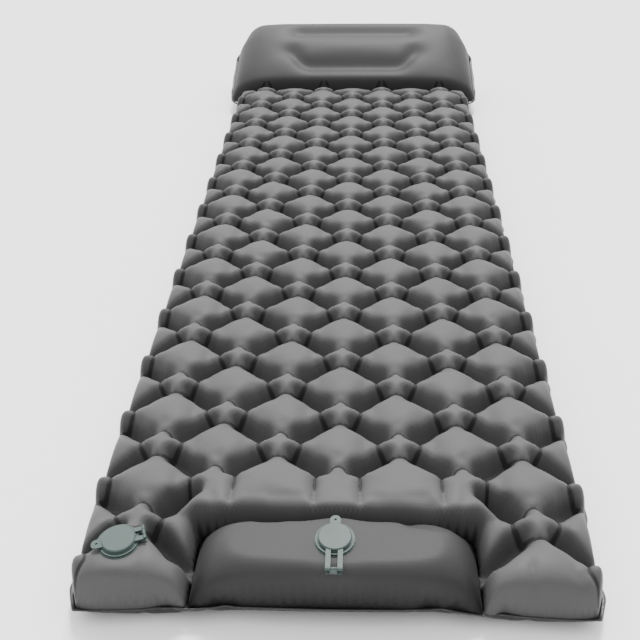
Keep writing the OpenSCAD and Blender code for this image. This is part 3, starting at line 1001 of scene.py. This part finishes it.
def make_foam():
    """The pump's foam block, with softened edges."""
    low = FOAM_LOW + Vector((0.002, 0.002, 0.002))
    high = FOAM_HIGH - Vector((0.002, 0.002, 0.004))
    block = rounded_box("foam_block", low, high, 0.02, (40, 14, 14))
    block.data.materials.append(MATERIALS["foam"])
    finished(block, "mattress", ["pump_foam"])
    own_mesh(block)


def make_ties(skin):
    """The two strips of fabric that hold the pressed lines down, from the base to the crown."""
    lattice = skin.lattice
    for side in ("front", "back"):
        node = "pillow_tie_" + side
        middle, (low, high) = node_centre(node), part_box(node)
        inside = lattice.in_pillow & lattice.real & (abs(lattice.x) < high.x * 0.86)
        row = lattice.b[inside][np.argmin(abs(lattice.y[inside] - middle.y))]
        chain = np.where(inside & (lattice.b == row))[0]
        tops = skin.points[chain]
        feet = skin.points[skin.lower_id[chain]]
        points = [(*p[:2], p[2] - 0.0015) for p in tops] + [(*p[:2], p[2] + 0.0015) for p in feet]
        count = len(chain)
        faces = [(n, n + 1, count + n + 1, count + n) for n in range(count - 1)]
        mesh = bpy.data.meshes.new(node)
        mesh.from_pydata(points, [], faces)
        mesh.materials.append(MATERIALS["tie"])
        strip = add_object("tie_strip_" + side, mesh)
        wall = strip.modifiers.new("wall", "SOLIDIFY")
        wall.thickness, wall.offset = 0.0008, 0.0
        finished(strip, "mattress", [node])


def bead_tree():
    """Geometry nodes for a round bead that runs along a circle."""
    group = bpy.data.node_groups.new("weld_bead", "GeometryNodeTree")
    for name, kind in (("Radius", "NodeSocketFloat"), ("Bead", "NodeSocketFloat"),
                       ("Material", "NodeSocketMaterial")):
        group.interface.new_socket(name, in_out="INPUT", socket_type=kind)
    group.interface.new_socket("Bead mesh", in_out="OUTPUT", socket_type="NodeSocketGeometry")
    tree = Tree(group)
    given = tree.add("NodeGroupInput")
    path = tree.add("GeometryNodeCurvePrimitiveCircle", Resolution=96, Radius=given.out("Radius"))
    section = tree.add("GeometryNodeCurvePrimitiveCircle", Resolution=12, Radius=given.out("Bead"))
    swept = tree.add("GeometryNodeCurveToMesh", Curve=path.out(), Profile_Curve=section.out())
    real = tree.add("GeometryNodeRealizeInstances", Geometry=swept.out())
    done = tree.add("GeometryNodeSetMaterial", Geometry=real.out(), Material=given.out("Material"))
    tree.add("NodeGroupOutput", Bead_mesh=done.out())
    return group


def make_beads(sizes):
    """The weld bead round each valve's collar, where the fabric ends."""
    group = bead_tree()
    inputs = {"Radius": sizes.ring_r, "Bead": sizes.bead_r, "Material": MATERIALS["valve"]}
    for name, foot, body in (("pump_valve_bead", PUMP_VALVE, "pump_cover"),
                             ("air_valve_bead", AIR_VALVE, "mattress")):
        carrier = add_object("carrier", bpy.data.meshes.new("carrier"))
        nodes = carrier.modifiers.new("bead", "NODES")
        nodes.node_group = group
        for item in group.interface.items_tree:
            if item.in_out == "INPUT":
                nodes[item.identifier] = inputs[item.name]
        ready = carrier.evaluated_get(bpy.context.evaluated_depsgraph_get())
        mesh = bpy.data.meshes.new_from_object(ready)
        bpy.data.objects.remove(carrier)
        mesh.name = name
        mesh.transform(Matrix.Translation(foot + Vector((0, 0, VALVE_SKIRT_T))))
        shell = bmesh.new()
        shell.from_mesh(mesh)
        close_shell(shell, mesh)
        finished(add_object(name, mesh), body)


# --- Operators ---


class PAD_OT_materials(bpy.types.Operator):
    """Make the pad's materials and give each shown CAD piece its own"""

    bl_idname = "sleeping_pad.materials"
    bl_label = "Materials"

    def execute(self, context):
        make_materials(context.scene.pad_finishes)
        chosen = {"flange": "valve", "insert": "valve", "seat": "valve", "flap": "silicone",
                  "grate": "valve", "cap": "cap"}
        for name, node in frame["nodes"].items():
            kind = next((k for k in chosen if k in name), None)
            if kind:
                node.data.materials.clear()
                node.data.materials.append(MATERIALS[chosen[kind]])
        return {"FINISHED"}


class PAD_OT_skin(bpy.types.Operator):
    """Make the quilted skin, the pillow, the pump's cover and the hem"""

    bl_idname = "sleeping_pad.skin"
    bl_label = "Skin"

    def execute(self, context):
        make_skin(context.scene.pad_skin_sizes)
        return {"FINISHED"}


class PAD_OT_foam(bpy.types.Operator):
    """Make the foam block of the foot pump"""

    bl_idname = "sleeping_pad.foam"
    bl_label = "Pump foam"

    def execute(self, context):
        make_foam()
        return {"FINISHED"}


class PAD_OT_beads(bpy.types.Operator):
    """Make the weld beads round the two valves"""

    bl_idname = "sleeping_pad.beads"
    bl_label = "Valve beads"

    def execute(self, context):
        make_beads(context.scene.pad_bead_sizes)
        return {"FINISHED"}


class PAD_OT_stage(bpy.types.Operator):
    """Make the floor, the lights and the camera"""

    bl_idname = "sleeping_pad.stage"
    bl_label = "Stage"

    def execute(self, context):
        make_stage(context.scene.pad_finishes, context.scene.pad_studio)
        return {"FINISHED"}


def make_stage(colours, studio):
    """A pale floor, a soft lamp from above and behind, and the camera at the foot of the pad."""
    mesh = bpy.data.meshes.new("floor")
    half = 150
    mesh.from_pydata([(-half, -half, 0), (half, -half, 0), (half, half, 0), (-half, half, 0)],
                     [], [(0, 1, 2, 3)])
    paint = Finish("studio_floor", 0.9)
    paint.tint(colours.floor, 0.985, 1.015, paint.noise(3, 2))
    mesh.materials.append(paint.material)
    add_object("floor", mesh)
    world = bpy.data.worlds.new("studio")
    world.use_nodes = True
    light_room(Tree(world.node_tree), studio)
    bpy.context.scene.world = world
    lamp = bpy.data.lights.new("overhead", "SUN")
    lamp.energy, lamp.angle = studio.lamp_strength, studio.lamp_width
    add_object("overhead", lamp).rotation_euler = studio.lamp_turn
    camera_data = bpy.data.cameras.new("camera")
    camera_data.lens, camera_data.shift_x = studio.lens, studio.shift
    camera = add_object("camera", camera_data)
    camera.location, camera.rotation_euler = studio.camera_place, studio.camera_turn
    bpy.context.scene.camera = camera


def light_room(tree, studio):
    """A soft white room, brightest above and beyond the head of the pad."""
    place = tree.add("ShaderNodeTexCoord").out("Generated")
    brightest = (-0.12, 0.62, 0.77)
    toward = tree.add("ShaderNodeVectorMath", {"operation": "DOT_PRODUCT"},
                      **{"0": place, "1": brightest}).out("Value")
    level = tree.add("ShaderNodeMapRange", None, Value=toward, From_Min=-0.3, From_Max=1.0,
                     To_Min=studio.room_dark, To_Max=studio.room_bright).out("Result")
    background = tree.nodes["Background"]
    tree.set(background.inputs["Strength"], level)
    tree.set(background.inputs["Color"], (1, 1, 1, 1))


class PAD_PT_panel(bpy.types.Panel):
    """The pad's operators and sizes in the 3D view's sidebar"""

    bl_label = "Sleeping Pad"
    bl_idname = "PAD_PT_panel"
    bl_space_type = "VIEW_3D"
    bl_region_type = "UI"
    bl_category = "Sleeping Pad"

    def draw(self, context):
        for operator in OPERATORS:
            self.layout.operator(operator.bl_idname)
        for name in GROUPS:
            group = getattr(context.scene, name)
            for key in group.__annotations__:
                self.layout.prop(group, key)


GROUPS = {"pad_skin_sizes": SkinSizes, "pad_bead_sizes": BeadSizes, "pad_finishes": Finishes,
          "pad_studio": Studio}
OPERATORS = (PAD_OT_materials, PAD_OT_skin, PAD_OT_foam, PAD_OT_beads, PAD_OT_stage)


def register():
    for made in (*GROUPS.values(), *OPERATORS, PAD_PT_panel):
        bpy.utils.register_class(made)
    for key, group in GROUPS.items():
        setattr(bpy.types.Scene, key, bpy.props.PointerProperty(type=group))


def unregister():
    for key in GROUPS:
        delattr(bpy.types.Scene, key)
    for made in reversed((*GROUPS.values(), *OPERATORS, PAD_PT_panel)):
        bpy.utils.unregister_class(made)


def main():
    register()
    for operator in OPERATORS:
        group, name = operator.bl_idname.split(".")
        getattr(getattr(bpy.ops, group), name)()


if __name__ == "__main__":
    main()
